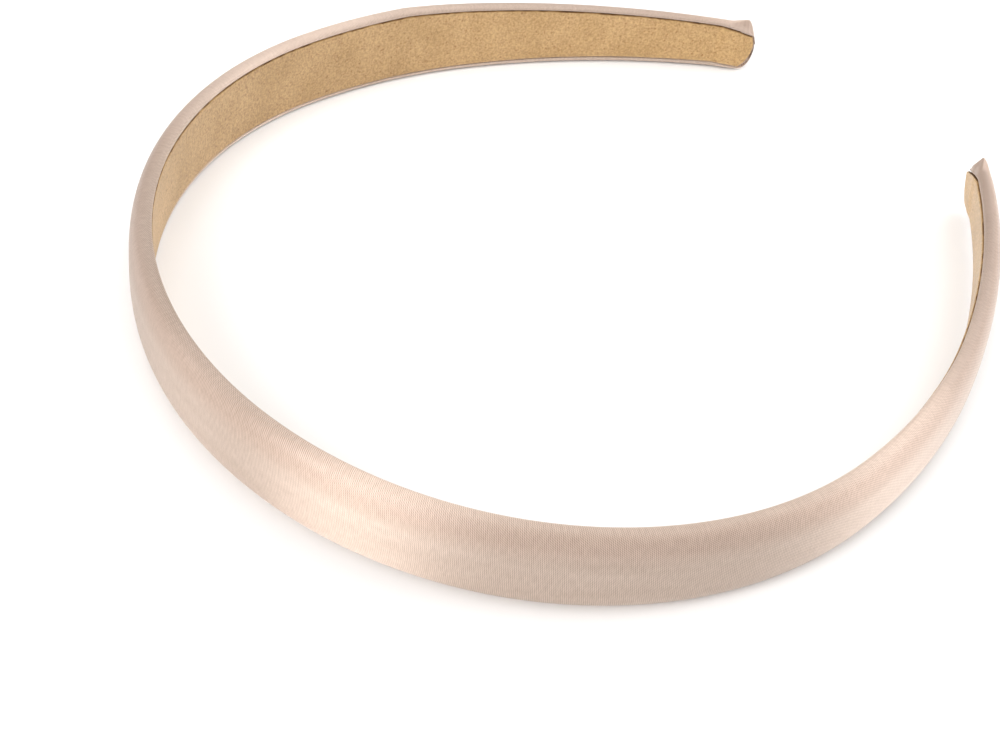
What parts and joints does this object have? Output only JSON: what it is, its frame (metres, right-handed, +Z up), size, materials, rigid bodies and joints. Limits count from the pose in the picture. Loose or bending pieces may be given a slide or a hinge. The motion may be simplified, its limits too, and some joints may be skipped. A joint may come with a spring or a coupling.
{
  "type": "headband",
  "caption": "Open springy hair hoop: a moulded band wrapped in satin with a faux suede lining, wide at the crown and narrow at its ends.",
  "frame": {"origin": "middle of the footprint, on the surface that the headband's lower edge lies on", "axes": "+Z up through the width of the band, +Y from the open ends to the crown, +X to the right half"},
  "size_m": [0.128, 0.1476, 0.014],
  "materials": {
    "core_plastic": "moulded, satin smooth",
    "satin": "champagne polyester satin, soft sheen along the band",
    "faux_suede": "tan faux suede, short matt nap with fine specks",
    "adhesive_film": "thin milky adhesive film"
  },
  "bodies": {
    "left_half": {"core_left": "core_plastic", "satin_adhesive_left": "adhesive_film", "satin_cover_left": "satin", "lining_adhesive_left": "adhesive_film", "lining_left": "faux_suede"},
    "right_half": {"core_right": "core_plastic", "satin_adhesive_right": "adhesive_film", "satin_cover_right": "satin", "lining_adhesive_right": "adhesive_film", "lining_right": "faux_suede"}
  },
  "joints": [
    {"name": "hoop_spread", "type": "hinge", "parent": "left_half", "child": "right_half", "pos_m": [0, 0.07377, 0.007], "axis": [0, 0, 1], "range_deg": [0, 24], "stiffness_Nm_per_rad": 0.67}
  ]
}
